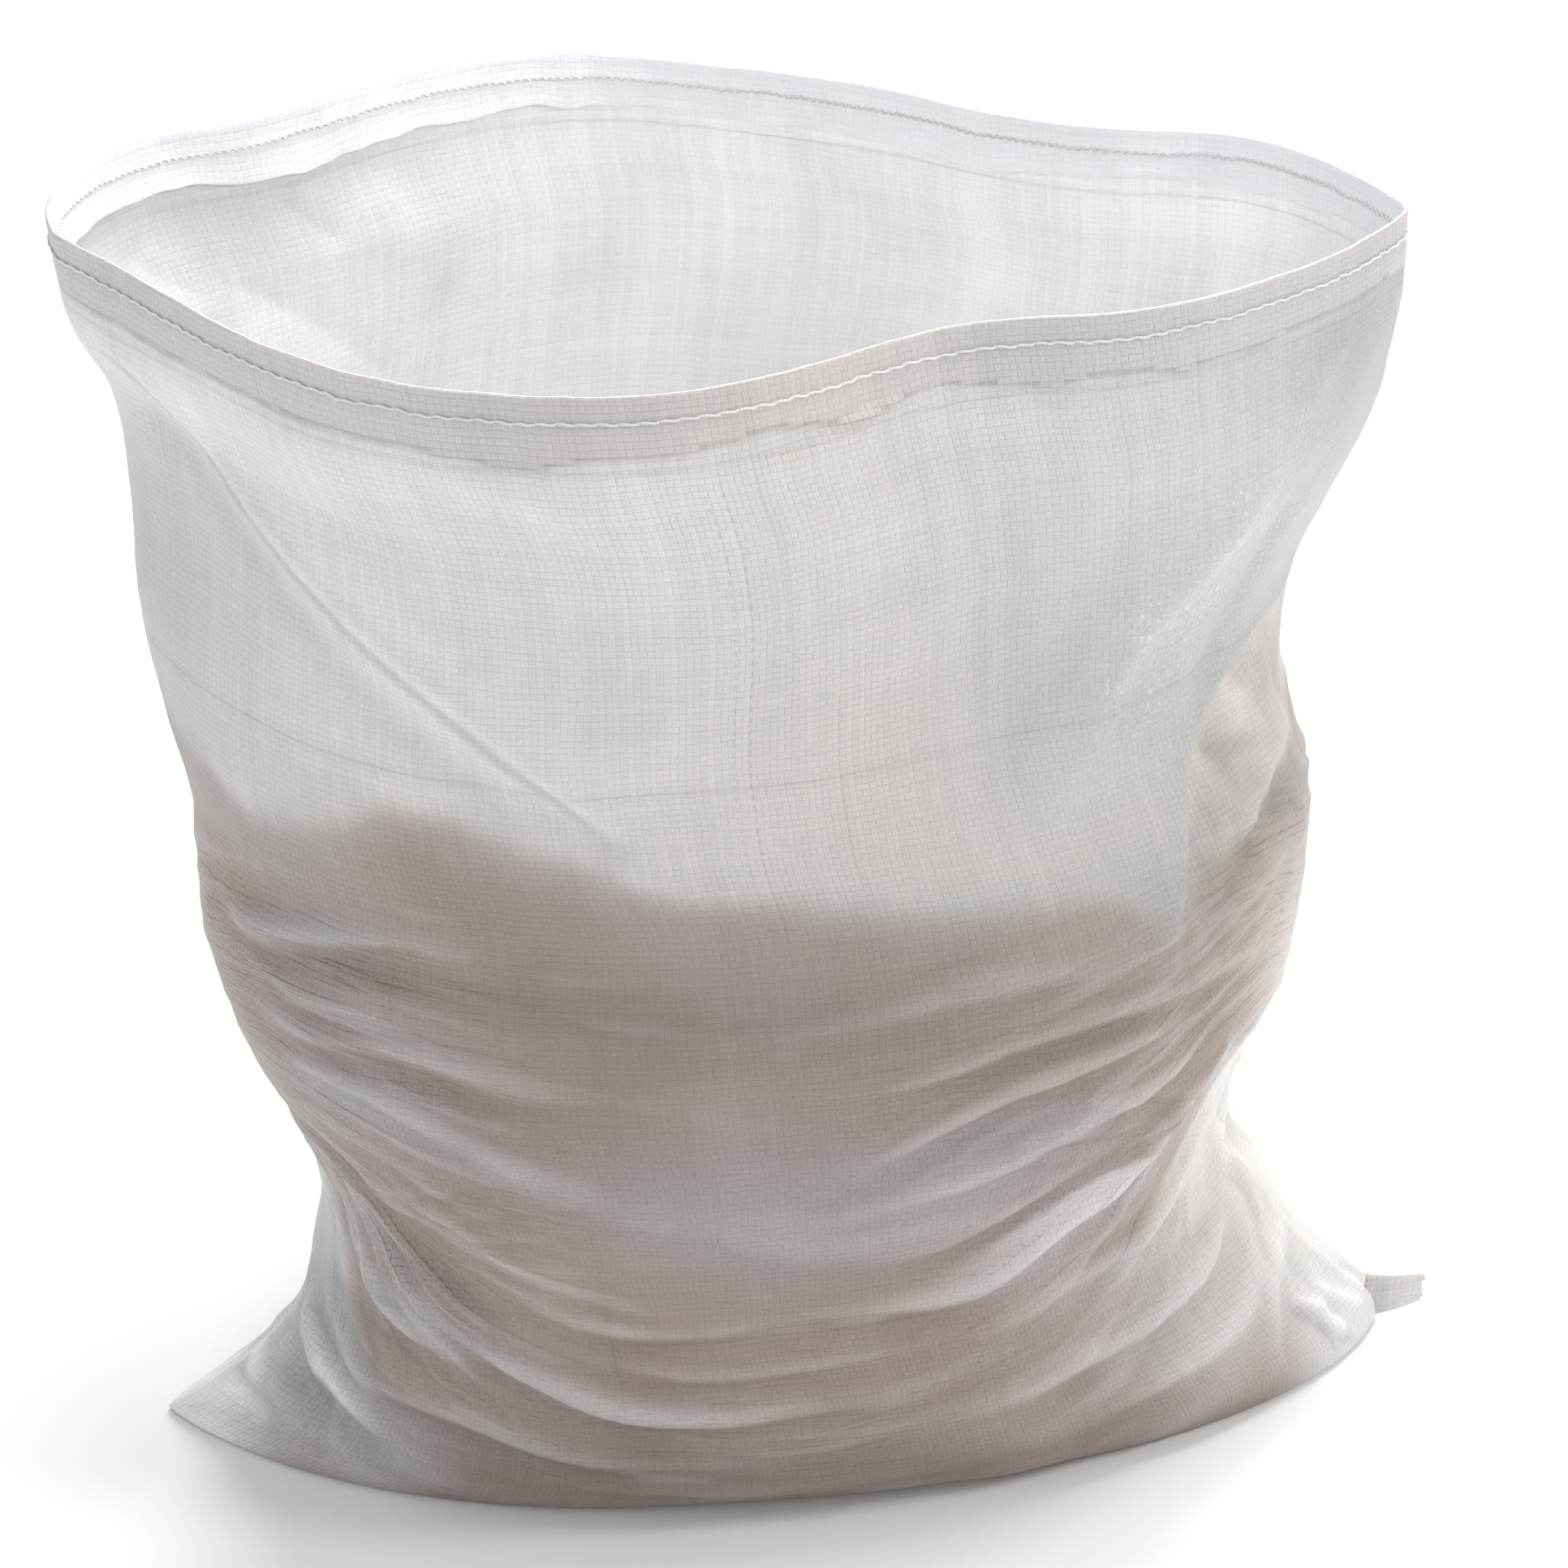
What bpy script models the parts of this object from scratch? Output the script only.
"""Open woven polypropylene sack standing on its sewn bottom, part filled with sand.

Metres, +Z up.  Origin: on the floor, under the middle of the sack.  +X runs from the left
bottom corner to the right one, -Y is the front of the sack.  All sizes and tables are in
millimetres and are turned into metres where a mesh is made.
"""

import math

import bmesh
import bpy
import numpy as np

MM = 0.001

# ------------------------------------------------------------------ driving dimensions
RIM_Z = 481.0          # height of the hemmed mouth above the floor
CLOTH_T = 1.0          # wall thickness of the cloth solids
GAP = 0.3              # clearance between neighbouring solids
FILL_Z = 276.0         # level of the sand at the wall
FILL_BASE = 4.0        # underside of the sand, above the bottom cloth and its seam
FILL_MOUND = 22.0      # how much higher the sand lies in the middle
WALL_TOP = 290.0       # the filled wall ends just above the sand
COLLAR_SPLIT = 392.0   # the stiff lower collar ends and the slack upper collar starts
HEM_DEPTH = 26.0       # depth of the hem turned in round the mouth
HEM_BOTTOM = RIM_Z - HEM_DEPTH
LEFT_ROOT_X = -184.0   # root plane of the left bottom corner
RIGHT_ROOT_X = 222.0   # root plane of the right bottom corner
CORNERS_TOP = 130.0    # below this height the outline is cut off at the root planes

# Mesh density
HALF = 30              # ring points from side fold to side fold
AROUND = 2 * HALF      # points in a whole ring
CURVE_STEPS = 240      # steps along the fine outline of a panel
THREAD_SIDES = 6

# Colour and roughness
CLOTH = ((0.85, 0.84, 0.82), 0.7)
THREAD = ((0.80, 0.79, 0.76), 0.6)
SAND = ((0.42, 0.37, 0.32), 0.95)

# Horizontal sections of the sack.  Each row: height, x of the left and right side folds,
# y of the left and right side folds, y of the front, y of the back, bulge exponent, end
# sharpness at the left and at the right, and the share of the mouth outline.
SECTIONS = np.array([
    (0, -222, 257, -62, 4, -119, 72, 2.5, 0.86, 0.57, 0.0),
    (12, -200, 254, -60, 4, -128, 82, 2.4, 0.80, 0.66, 0.0),
    (30, -183, 238, -57, 4, -141, 92, 2.3, 0.74, 0.64, 0.0),
    (50, -169, 218, -54, 8, -147, 101, 2.3, 0.66, 0.62, 0.0),
    (75, -162, 204, -50, 12, -151, 108, 2.3, 0.58, 0.58, 0.0),
    (100, -157, 191, -45, 14, -153, 112, 2.4, 0.54, 0.53, 0.0),
    (120, -163, 194, -41, 16, -154, 116, 2.5, 0.64, 0.58, 0.0),
    (145, -173, 204, -38, 18, -156, 119, 2.5, 0.61, 0.60, 0.0),
    (170, -184, 212, -36, 19, -158, 121, 2.5, 0.57, 0.50, 0.0),
    (200, -193, 214, -35, 19, -160, 122, 2.5, 0.54, 0.46, 0.0),
    (235, -196, 215, -34, 18, -160, 122, 2.5, 0.51, 0.50, 0.0),
    (265, -197, 209, -33, 16, -160, 120, 2.4, 0.54, 0.52, 0.0),
    (300, -205, 203, -32, 12, -160, 118, 2.3, 0.56, 0.56, 0.08),
    (330, -210, 205, -31, 8, -162, 118, 2.2, 0.60, 0.60, 0.22),
    (360, -213, 215, -30, 2, -165, 120, 2.1, 0.64, 0.64, 0.42),
    (390, -214, 225, -29, -6, -170, 122, 2.0, 0.68, 0.68, 0.62),
    (420, -217, 231, -28, -14, -176, 124, 2.0, 0.70, 0.70, 0.80),
    (450, -231, 235, -27, -21, -182, 127, 2.0, 0.72, 0.72, 0.93),
    (RIM_Z, -236, 234, -26, -26, -187, 130, 2.0, 0.74, 0.74, 1.0),
], float)

# Outline of the open mouth as (x, y), from the left side fold to the right one.
MOUTH_FRONT = [(-236, -26), (-213, -68), (-175, -119), (-124, -168), (-67, -187), (-9, -181),
               (35, -153), (70, -131), (120, -122), (170, -97), (213, -57), (234, -26)]
MOUTH_BACK = [(-236, -26), (-229, 6), (-214, 38), (-179, 54), (-149, 80), (-95, 121), (-50, 130),
              (-2, 118), (58, 92), (104, 62), (135, 52), (184, 44), (213, 14), (234, -26)]
MOUTH_LEFT_X, MOUTH_FOLD_Y = MOUTH_FRONT[0]
MOUTH_RIGHT_X = MOUTH_FRONT[-1][0]
MOUTH_WIDTH = MOUTH_RIGHT_X - MOUTH_LEFT_X
MOUTH_MID_X = (MOUTH_LEFT_X + MOUTH_RIGHT_X) / 2


# ------------------------------------------------------------------ curves
def monotone_cubic(xs, ys, x):
    """Monotone cubic through the points xs, ys at x: no overshoot between sections."""
    widths = np.diff(xs)
    rises = np.diff(ys) / widths
    slopes = np.zeros(len(xs))
    slopes[0], slopes[-1] = rises[0], rises[-1]
    for i in range(1, len(xs) - 1):
        if rises[i - 1] * rises[i] > 0:
            before = 2 * widths[i] + widths[i - 1]
            after = widths[i] + 2 * widths[i - 1]
            slopes[i] = (before + after) / (before / rises[i - 1] + after / rises[i])
    i = int(np.clip(np.searchsorted(xs, x) - 1, 0, len(widths) - 1))
    t = (x - xs[i]) / widths[i]
    return ((1 + 2 * t) * (1 - t) ** 2 * ys[i] + t * (1 - t) ** 2 * widths[i] * slopes[i]
            + t * t * (3 - 2 * t) * ys[i + 1] + t * t * (t - 1) * widths[i] * slopes[i + 1])


def path_lengths(points):
    """Distance along a polyline to each of its points."""
    return np.concatenate([[0], np.cumsum(np.hypot(*np.diff(points, axis=0).T))])


def spline(points, count=161):
    """Natural cubic spline through a list of (x, y), sampled evenly."""
    points = np.array(points, float)
    knots = path_lengths(points)
    spans, size = np.diff(knots), len(knots)
    samples = np.linspace(0, knots[-1], count)
    k = np.clip(np.searchsorted(knots, samples) - 1, 0, size - 2)
    t, span = samples - knots[k], spans[k]
    axes = []
    for values in points.T:
        matrix, right_side = np.eye(size), np.zeros(size)
        for i in range(1, size - 1):
            before, after = spans[i - 1], spans[i]
            matrix[i, i - 1:i + 2] = before, 2 * (before + after), after
            right_side[i] = 6 * ((values[i + 1] - values[i]) / after
                                 - (values[i] - values[i - 1]) / before)
        bend = np.linalg.solve(matrix, right_side)   # second derivative at each knot
        slope = (values[k + 1] - values[k]) / span - span * (2 * bend[k] + bend[k + 1]) / 6
        axes.append(values[k] + t * slope + t * t * bend[k] / 2
                    + t ** 3 * (bend[k + 1] - bend[k]) / (6 * span))
    return np.stack(axes, 1)


def resample(points, steps):
    """steps + 1 points evenly along a polyline."""
    lengths = path_lengths(points)
    samples = np.linspace(0, lengths[-1], steps + 1)
    return np.stack([np.interp(samples, lengths, points[:, 0]),
                     np.interp(samples, lengths, points[:, 1])], 1)


FRONT_CURVE = resample(spline(MOUTH_FRONT), CURVE_STEPS)
BACK_CURVE = resample(spline(MOUTH_BACK), CURVE_STEPS)


def inset(points, distance):
    """A closed outline moved inwards by distance (outwards when it is negative)."""
    def inward(edges):
        return np.stack([-edges[:, 1], edges[:, 0]], 1) / np.hypot(*edges.T)[:, None]

    mitre = inward(points - np.roll(points, 1, 0)) + inward(np.roll(points, -1, 0) - points)
    # the lower bound of 0.7 keeps sharp folds from throwing long spikes
    mitre /= np.maximum(np.sum(mitre * mitre, 1) / 2, 0.7)[:, None]
    return points + distance * mitre


# ------------------------------------------------------------------ outline of the sack
def panels(z):
    """The front and back outlines at height z, each from the left side fold to the right."""
    (left_x, right_x, left_y, right_y, front_y, back_y, exponent, left_sharp, right_sharp,
     mouth_share) = [monotone_cubic(SECTIONS[:, 0], column, float(z))
                     for column in SECTIONS[:, 1:].T]
    t = -np.cos(np.linspace(0, math.pi, CURVE_STEPS + 1))   # -1 left fold, +1 right fold
    mid_x, half_width = (left_x + right_x) / 2, (right_x - left_x) / 2
    mid_y = (left_y + right_y) / 2
    chord = mid_y + (right_y - left_y) / 2 * t
    sharpness = np.where(t < 0, left_sharp, right_sharp)
    bulge = np.clip(1 - np.abs(t) ** exponent, 0, None) ** sharpness
    sides = []
    for depth, mouth in ((front_y, FRONT_CURVE), (back_y, BACK_CURVE)):
        plain = np.stack([mid_x + half_width * t, chord + (depth - mid_y) * bulge], 1)
        # the mouth outline, fitted between this section's side folds
        mouth_x = mid_x + (mouth[:, 0] - MOUTH_MID_X) * half_width / (MOUTH_WIDTH / 2)
        mouth_y = (mouth[:, 1] - MOUTH_FOLD_Y + left_y
                   + (right_y - left_y) * (mouth[:, 0] - MOUTH_LEFT_X) / MOUTH_WIDTH)
        sides.append((1 - mouth_share) * resample(plain, CURVE_STEPS)
                     + mouth_share * np.stack([mouth_x, mouth_y], 1))
    return sides


def cut_at(curve, x):
    """The point of an outline at x, and the index of the next point along it."""
    i = int(np.argmax(curve[:, 0] > x))
    share = (x - curve[i - 1, 0]) / (curve[i, 0] - curve[i - 1, 0])
    return curve[i - 1] + share * (curve[i] - curve[i - 1]), i


def ring(z):
    """Outline at height z without the bottom corners, counter-clockwise from above:
    AROUND points, left side first, then the front panel, the right side and the back."""
    front, back = panels(z)
    for root_x, is_left in ((LEFT_ROOT_X, True), (RIGHT_ROOT_X, False)):
        reaches_past = front[0, 0] < root_x if is_left else front[-1, 0] > root_x
        if z < CORNERS_TOP and reaches_past:
            front_cut, i = cut_at(front, root_x)
            back_cut, j = cut_at(back, root_x)
            middle = (front_cut + back_cut) / 2
            if is_left:
                front = np.vstack([middle, front_cut, front[i:]])
                back = np.vstack([middle, back_cut, back[j:]])
            else:
                front = np.vstack([front[:i], front_cut, middle])
                back = np.vstack([back[:j], back_cut, middle])
    return np.vstack([resample(front, HALF)[:-1], resample(back, HALF)[::-1][:-1]])


# ------------------------------------------------------------------ meshes
def make_material(name, rgb, roughness):
    material = bpy.data.materials.new(name)
    material.use_nodes = True
    inputs = material.node_tree.nodes["Principled BSDF"].inputs
    inputs["Base Color"].default_value = (*rgb, 1)
    inputs["Roughness"].default_value = roughness
    inputs["Metallic"].default_value = 0.0
    return material


def new_mesh(name, verts, faces, finish=CLOTH):
    """One smooth object from vertices in mm and faces, with its normals turned outwards."""
    mesh = bpy.data.meshes.new(name)
    mesh.from_pydata([tuple(float(c) * MM for c in v) for v in verts], [], faces)
    bm = bmesh.new()
    bm.from_mesh(mesh)
    bmesh.ops.recalc_face_normals(bm, faces=bm.faces)
    if bm.calc_volume(signed=True) < 0:
        bmesh.ops.reverse_faces(bm, faces=bm.faces)
    bm.to_mesh(mesh)
    bm.free()
    ob = bpy.data.objects.new(name, mesh)
    bpy.context.scene.collection.objects.link(ob)
    mesh.materials.append(make_material(name + "_mat", *finish))
    mesh.shade_smooth()
    mesh.set_sharp_from_angle(angle=math.radians(35))
    return ob


def grid_faces(rows, cols, closed=False):
    """Quads between consecutive closed rows of cols points; closed joins the last row to
    the first."""
    faces = []
    for row in range(rows if closed else rows - 1):
        here, there = row * cols, (row + 1) % rows * cols
        for c in range(cols):
            after = (c + 1) % cols
            faces.append((here + c, here + after, there + after, there + c))
    return faces


def capped_faces(rows, cols):
    """grid_faces with the first and last rows closed by flat ends."""
    return grid_faces(rows, cols) + [tuple(reversed(range(cols))),
                                     tuple(range((rows - 1) * cols, rows * cols))]


def at_height(points, z):
    return [(x, y, z) for x, y in points]


def set_origin(ob, point):
    """Moves an object's origin to a point in mm, keeping the shape in place."""
    for v in ob.data.vertices:
        v.co = [v.co[i] - point[i] * MM for i in range(3)]
    ob.location = [c * MM for c in point]


# ------------------------------------------------------------------ wall, collar and hem
# Each row: height, how far the sand stands inside the cloth's outer face there: more low
# down, where the cloth puckers at the corners.
SAND_LEVELS = [(FILL_BASE, 7), (12, 7), (30, 7), (50, 6), (75, 5), (100, 4), (122, 2.5),
               (150, 2), (185, 2), (220, 2), (255, 2), (FILL_Z, 2)]

# Heights of the rings of each band of cloth.
BANDS = {
    "lower_wall": [0, *(z for z, _ in SAND_LEVELS), WALL_TOP - GAP],
    "lower_collar": [WALL_TOP, 325, 360, COLLAR_SPLIT - GAP],
    "upper_collar": [COLLAR_SPLIT, 412, 432, HEM_BOTTOM - GAP],
}

HEM_T = 2.8            # over both plies of the hem
HEM_PLY = 0.9
HEM_FOLD = 1.2         # cloth height above the slot between the plies
HEM_FLAP_RISE = 3.0    # the inner ply ends this much above the outer one
HEM_BEVEL_IN = 0.5     # bevel along the rim: inwards and downwards
HEM_BEVEL_DOWN = 1.0


def swept_ring(name, profile):
    """A closed profile of (inset, height) carried round the sack's outline."""
    verts = []
    for distance, z in profile:
        verts += at_height(inset(ring(z), distance), z)
    new_mesh(name, verts, grid_faces(len(profile), AROUND, closed=True))


def cloth_band(name, levels):
    """A band of cloth between the first and last of the levels."""
    swept_ring(name, [(0, z) for z in levels] + [(CLOTH_T, z) for z in reversed(levels)])


def mouth_hem():
    """Cloth turned in round the mouth: two plies joined at the rim."""
    half_way, bevel_z = RIM_Z - HEM_DEPTH / 2, RIM_Z - HEM_BEVEL_DOWN
    slot_top, flap_end = RIM_Z - HEM_FOLD, HEM_BOTTOM + HEM_FLAP_RISE
    swept_ring("mouth_hem", [
        (0, HEM_BOTTOM), (0, half_way), (0, bevel_z), (HEM_BEVEL_IN, RIM_Z),
        (HEM_T - HEM_BEVEL_IN, RIM_Z), (HEM_T, bevel_z), (HEM_T, half_way), (HEM_T, flap_end),
        (HEM_T - HEM_PLY, flap_end), (HEM_T - HEM_PLY, slot_top), (HEM_PLY, slot_top),
        (HEM_PLY, HEM_BOTTOM)])


# ------------------------------------------------------------------ hem threads
HEM_STITCH = 9.0       # stitch line below the rim
HEM_THREAD_R = 0.45
STITCH_LIFT = 0.35     # how far the stitches rise and fall


def circle_offsets(radius):
    """Sideways and upward offsets round the section of a thread."""
    angles = [2 * math.pi * s / THREAD_SIDES for s in range(THREAD_SIDES)]
    return [(radius * math.cos(a), radius * math.sin(a)) for a in angles]


def hem_thread(name, distance):
    """A thread round the mouth, its middle at distance inside the hem's outer face."""
    z = RIM_Z - HEM_STITCH
    outline = ring(z)
    strands = [(inset(outline, distance + inward), up)
               for inward, up in circle_offsets(HEM_THREAD_R)]
    verts = []
    for c in range(AROUND):
        lift = STITCH_LIFT if c % 2 else -STITCH_LIFT
        verts += [(*points[c], z + lift + up) for points, up in strands]
    new_mesh(name, verts, grid_faces(AROUND, THREAD_SIDES, closed=True), THREAD)


# ------------------------------------------------------------------ sand
MOUND_SHARES = (0.8, 0.55, 0.28)   # sizes of the rings on the mound, as shares of its edge


def sand_fill():
    """The sand: a flat underside, sides that follow the wall and a mounded top."""
    verts = []
    for z, distance in SAND_LEVELS:
        verts += at_height(inset(ring(z), distance), z)
    edge = inset(ring(FILL_Z), SAND_LEVELS[-1][1])
    centre = edge.mean(0)
    for share in MOUND_SHARES:
        verts += at_height(centre + (edge - centre) * share,
                           FILL_Z + FILL_MOUND * (1 - share ** 2))
    peak = len(verts)
    last = peak - AROUND
    verts.append((*centre, FILL_Z + FILL_MOUND))
    faces = grid_faces(len(SAND_LEVELS) + len(MOUND_SHARES), AROUND)
    faces.append(tuple(reversed(range(AROUND))))
    faces += [(last + c, last + (c + 1) % AROUND, peak) for c in range(AROUND)]
    new_mesh("sand_fill", verts, faces, SAND)


# ------------------------------------------------------------------ bottom and its seam
# The seam runs straight from corner to corner.
SEAM_LEFT = SECTIONS[0, [1, 3]]
SEAM_RIGHT = np.array([SECTIONS[0, 2], 0.0])
SEAM_DIR = (SEAM_RIGHT - SEAM_LEFT) / np.linalg.norm(SEAM_RIGHT - SEAM_LEFT)
SEAM_NORMAL = np.array([-SEAM_DIR[1], SEAM_DIR[0]])   # towards the back

SEAM_W = 20.0            # width of the strip kept free for the folded bottom hem
BOTTOM_T = 1.2           # thickness of the bottom cloth
BOTTOM_EXTRA_GAP = 0.8   # between bottom and wall, on top of GAP
BOTTOM_MIN_DEPTH = 3.0   # edge points nearer to the seam's strip than this are left out
BOTTOM_END = 4.5         # the bottom and its hem end this far short of the root planes
STRIP_CLEARANCE = 0.2    # the hem is narrower than its strip by this on each side
STRIP_Z = (1.1, 2.5)     # underside and top of the bottom hem
STRIP_STEPS = 24
SEAM_THREAD_END = 6.0    # the threads end this far short of the root planes
SEAM_THREAD_R = 0.36
SEAM_THREAD_STEPS = 90


def seam_y(x):
    return SEAM_LEFT[1] + (x - SEAM_LEFT[0]) * SEAM_DIR[1] / SEAM_DIR[0]


def seam_points(end, steps):
    """Points along the seam that stop short of both root planes by end."""
    x0, x1 = LEFT_ROOT_X + end, RIGHT_ROOT_X - end
    xs = [x0 + (x1 - x0) * i / steps for i in range(steps + 1)]
    return [np.array([x, seam_y(x)]) for x in xs]


def bottom_half(name, side):
    """The flat bottom cloth on one side of the seam: side -1 is the front, +1 the back."""
    x0, x1 = LEFT_ROOT_X + BOTTOM_END, RIGHT_ROOT_X - BOTTOM_END
    offset = (SEAM_W / 2 + GAP) / SEAM_DIR[0]
    edge = inset(ring(0), CLOTH_T + GAP + BOTTOM_EXTRA_GAP)
    panel = edge[:HALF + 1] if side < 0 else np.vstack([edge[HALF:], edge[:1]])[::-1]
    kept = [(x, y) for x, y in panel
            if x0 < x < x1 and side * (y - seam_y(x)) > offset + BOTTOM_MIN_DEPTH]
    first, last = [(x, seam_y(x) + side * offset) for x in (kept[0][0], kept[-1][0])]
    outline = [first, *kept, last]
    new_mesh(name, at_height(outline, 0) + at_height(outline, BOTTOM_T),
             capped_faces(2, len(outline)))


def bottom_hem():
    """The flat folded strip that follows the seam."""
    half_width = SEAM_W / 2 - STRIP_CLEARANCE
    low, high = STRIP_Z
    verts = []
    for point in seam_points(BOTTOM_END, STRIP_STEPS):
        for side, z in ((-1, low), (1, low), (1, high), (-1, high)):
            verts.append((*(point + SEAM_NORMAL * half_width * side), z))
    new_mesh("bottom_hem", verts, capped_faces(STRIP_STEPS + 1, 4))


def seam_thread(name, z, sway):
    """A thread along the seam, its loops swaying from side to side."""
    verts = []
    for i, point in enumerate(seam_points(SEAM_THREAD_END, SEAM_THREAD_STEPS)):
        middle = point + SEAM_NORMAL * sway * math.sin(i * math.pi / 2)
        verts += [(*(middle + SEAM_NORMAL * across), z + up)
                  for across, up in circle_offsets(SEAM_THREAD_R)]
    new_mesh(name, verts, capped_faces(SEAM_THREAD_STEPS + 1, THREAD_SIDES), THREAD)


# ------------------------------------------------------------------ bottom corners
LEFT_HINGE_Z = 29.0    # height of the hinge line of the left corner
RIGHT_HINGE_Z = 49.0   # height of the hinge line of the right corner
LEFT_LEVELS = [0, 5, 12, 19, 25, 27.5]
RIGHT_LEVELS = [0, 6, 12, 20, 29, 36, 40, 42.5]
CORNER_STEPS = 9       # steps from root to tip on each panel


def corner(name, root_x, is_left, levels, hinge_z):
    """The end of the sack beyond its root plane, as one closed body."""
    x = root_x - GAP if is_left else root_x + GAP
    verts = []
    for z in levels:
        sides = []
        for curve in panels(z):
            cut, i = cut_at(curve, x)
            beyond = curve[:i][::-1] if is_left else curve[i:]
            sides.append(resample(np.vstack([cut, beyond]), CORNER_STEPS))
        front, back = sides
        verts += at_height(np.vstack([front, back[::-1][1:]]), z)
    ob = new_mesh(name, verts, capped_faces(len(levels), 2 * CORNER_STEPS + 1))
    set_origin(ob, (x, seam_y(root_x), hinge_z))


# ------------------------------------------------------------------ free end of the bottom hem
TAIL_X0, TAIL_X1 = 259.2, 274.0
TAIL_Y = 7.0
TAIL_Z0, TAIL_Z1 = 7.0, 21.0
TAIL_BEND = 4.0        # how far the tip bends to the back
TAIL_RISE = 1.5        # rise of the lower edge towards the tip
TAIL_DROP = 1.0        # drop of the upper edge towards the tip
TAIL_ROOT_HALF_T, TAIL_TIP_HALF_T = 1.3, 1.0
TAIL_STEPS = 6


def seam_tail():
    verts = []
    for i in range(TAIL_STEPS + 1):
        share = i / TAIL_STEPS
        x = TAIL_X0 + (TAIL_X1 - TAIL_X0) * share
        y = TAIL_Y + TAIL_BEND * share * share
        low, high = TAIL_Z0 + TAIL_RISE * share, TAIL_Z1 - TAIL_DROP * share
        half = TAIL_ROOT_HALF_T + (TAIL_TIP_HALF_T - TAIL_ROOT_HALF_T) * share
        verts += [(x, y - half, low), (x, y + half, low), (x, y + half, high), (x, y - half, high)]
    ob = new_mesh("seam_tail", verts, capped_faces(TAIL_STEPS + 1, 4))
    set_origin(ob, (TAIL_X0, TAIL_Y, (TAIL_Z0 + TAIL_Z1) / 2))


# ------------------------------------------------------------------ build
for old in list(bpy.data.objects):
    bpy.data.objects.remove(old, do_unlink=True)

for band_name, band_levels in BANDS.items():
    cloth_band(band_name, band_levels)
mouth_hem()
hem_thread("hem_needle_thread", distance=-(GAP + HEM_THREAD_R))
hem_thread("hem_looper_thread", distance=HEM_T + GAP + HEM_THREAD_R)
sand_fill()
bottom_half("bottom_front_half", side=-1)
bottom_half("bottom_back_half", side=1)
bottom_hem()
seam_thread("bottom_needle_thread", z=0.42, sway=0.4)
seam_thread("bottom_looper_thread", z=3.2, sway=0.8)
corner("left_corner", LEFT_ROOT_X, True, LEFT_LEVELS, LEFT_HINGE_Z)
corner("right_corner", RIGHT_ROOT_X, False, RIGHT_LEVELS, RIGHT_HINGE_Z)
seam_tail()
